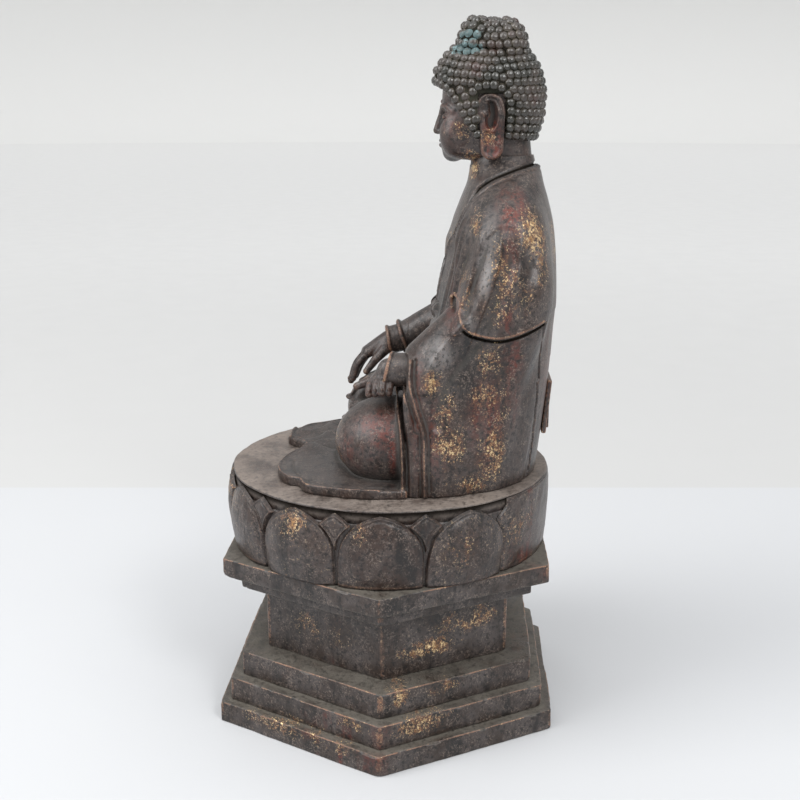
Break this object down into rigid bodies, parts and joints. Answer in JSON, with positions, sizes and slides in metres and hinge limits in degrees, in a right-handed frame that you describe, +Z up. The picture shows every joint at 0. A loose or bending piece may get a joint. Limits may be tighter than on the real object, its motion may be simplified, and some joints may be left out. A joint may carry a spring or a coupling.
{
  "type": "buddha statue",
  "caption": "Seated Buddha of carved, lacquered wood on a round lotus throne and a stepped six-sided pedestal, with a covered niche in the back.",
  "frame": {"origin": "centre of the pedestal's flat underside, which stands on the table", "axes": "+Z up, -Y the way the figure faces, +X to the figure's own left"},
  "size_m": [0.27, 0.236, 0.4814],
  "materials": {
    "lacquer": "satin dark brown lacquer over red, dusty, with worn gold and copper-coloured edges",
    "gilt": "satin dark lacquer with much worn gold leaf",
    "skin": "satin red-brown lacquer with worn gold leaf",
    "hair": "near-black satin paint",
    "wood": "bare softwood"
  },
  "bodies": {
    "pedestal": {"plinth_base": "lacquer", "plinth_middle": "lacquer", "plinth_upper": "lacquer", "waist_block": "lacquer", "cornice_lower": "lacquer", "cornice_slab": "lacquer", "centre_post": "wood"},
    "throne": {"lotus_drum": "lacquer", "seat_board": "lacquer", "back_panel": "lacquer", "front_petal": "gilt", "left_petal_1": "gilt", "left_petal_2": "gilt", "left_petal_3": "gilt", "left_petal_4": "gilt", "right_petal_1": "gilt", "right_petal_2": "gilt", "right_petal_3": "gilt", "right_petal_4": "gilt", "left_small_petal_1": "lacquer", "left_small_petal_2": "lacquer", "left_small_petal_3": "lacquer", "left_small_petal_4": "lacquer", "right_small_petal_1": "lacquer", "right_small_petal_2": "lacquer", "right_small_petal_3": "lacquer", "right_small_petal_4": "lacquer", "left_seat_dowel": "wood", "right_seat_dowel": "wood"},
    "figure": {"hair_layer": "hair", "head_core": "skin", "lap_block": "lacquer", "left_forearm": "lacquer", "left_hand": "skin", "left_sleeve": "lacquer", "left_upper_arm": "lacquer", "right_forearm": "lacquer", "right_hand": "skin", "right_sleeve": "lacquer", "right_upper_arm": "lacquer", "robe_apron": "lacquer", "topknot": "hair", "trunk_block": "lacquer"},
    "niche_cover": {"niche_cover": "lacquer"}
  },
  "joints": [
    {"name": "throne_lift", "type": "slide", "parent": "pedestal", "child": "throne", "axis": [0, 0, 1], "range_m": [0, 0.03]},
    {"name": "figure_lift", "type": "slide", "parent": "throne", "child": "figure", "axis": [0, 0, 1], "range_m": [0, 0.025]},
    {"name": "niche_cover_pull", "type": "slide", "parent": "figure", "child": "niche_cover", "axis": [0, 1, 0], "range_m": [0, 0.02]}
  ]
}
